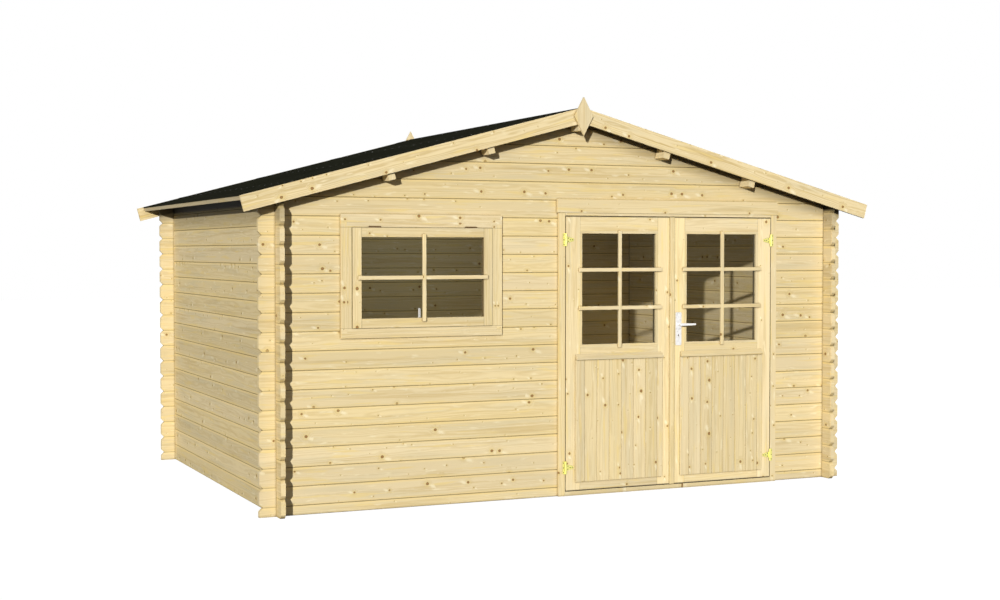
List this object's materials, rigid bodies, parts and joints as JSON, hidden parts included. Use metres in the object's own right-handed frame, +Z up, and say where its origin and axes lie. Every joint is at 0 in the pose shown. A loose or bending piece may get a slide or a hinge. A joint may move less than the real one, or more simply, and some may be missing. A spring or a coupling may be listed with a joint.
{
  "type": "garden shed",
  "caption": "Log-built garden shed with a glazed double door, a window and a felted gable roof with bargeboards and finials.",
  "frame": {"origin": "on the ground at the middle of the walls' plan, which is also the middle of the object's box", "axes": "+X right seen from the front, +Y from the front with the doors towards the back, +Z up"},
  "size_m": [4.388, 3.0504, 2.523],
  "materials": {
    "board_pine": "untreated planed pine boards",
    "catch_white": "white",
    "felt": "mineral-faced bitumen roofing felt, near black",
    "glass": "clear single glazing",
    "handle": "satin white-silver",
    "hinge_zinc": "yellow passivated zinc plate",
    "joinery_pine": "untreated planed pine joinery",
    "log_pine": "untreated planed pine with knots",
    "window_hinge": "dark metal"
  },
  "bodies": {
    "building": {"back_gable_logs": "log_pine", "back_wall_logs": "log_pine", "bargeboards": "joinery_pine", "door_frame": "joinery_pine", "door_header": "joinery_pine", "door_hinge_plates": "hinge_zinc", "door_lintel_logs": "log_pine", "door_sill": "joinery_pine", "door_stops": "joinery_pine", "eaves_strips": "joinery_pine", "finials": "joinery_pine", "floor": "board_pine", "front_gable_logs": "log_pine", "front_wall_left_logs": "log_pine", "front_wall_right_logs": "log_pine", "left_roof_boards": "board_pine", "left_roof_felt": "felt", "left_wall_logs": "log_pine", "purlins": "board_pine", "right_roof_boards": "board_pine", "right_roof_felt": "felt", "right_wall_logs": "log_pine", "window_catch": "catch_white", "window_glass": "glass", "window_hinges": "window_hinge", "window_left_logs": "log_pine", "window_lining": "joinery_pine", "window_notched_logs": "log_pine", "window_right_logs": "log_pine", "window_sash": "joinery_pine", "window_trim": "joinery_pine"},
    "left_door": {"left_door_beads": "joinery_pine", "left_door_glass": "glass", "left_door_panel": "joinery_pine", "left_door_rails": "joinery_pine", "left_door_stiles": "joinery_pine", "left_hinge_arms": "hinge_zinc", "meeting_strip": "joinery_pine"},
    "right_door": {"handle_plates": "handle", "right_door_beads": "joinery_pine", "right_door_glass": "glass", "right_door_panel": "joinery_pine", "right_door_rails": "joinery_pine", "right_door_stiles": "joinery_pine", "right_hinge_arms": "hinge_zinc"},
    "door_lever": {"door_lever": "handle"}
  },
  "joints": [
    {"name": "left_door_hinge", "type": "hinge", "parent": "building", "child": "left_door", "pos_m": [-0.0645, -1.4042, 0.9065], "axis": [0, 0, -1], "range_deg": [0, 120]},
    {"name": "right_door_hinge", "type": "hinge", "parent": "building", "child": "right_door", "pos_m": [1.4815, -1.4042, 0.9065], "axis": [0, 0, 1], "range_deg": [0, 120]},
    {"name": "lever_turn", "type": "hinge", "parent": "right_door", "child": "door_lever", "pos_m": [0.763, -1.38, 1.079], "axis": [0, 1, 0], "range_deg": [0, 40], "stiffness_Nm_per_rad": 1, "springref_deg": -34.38}
  ]
}
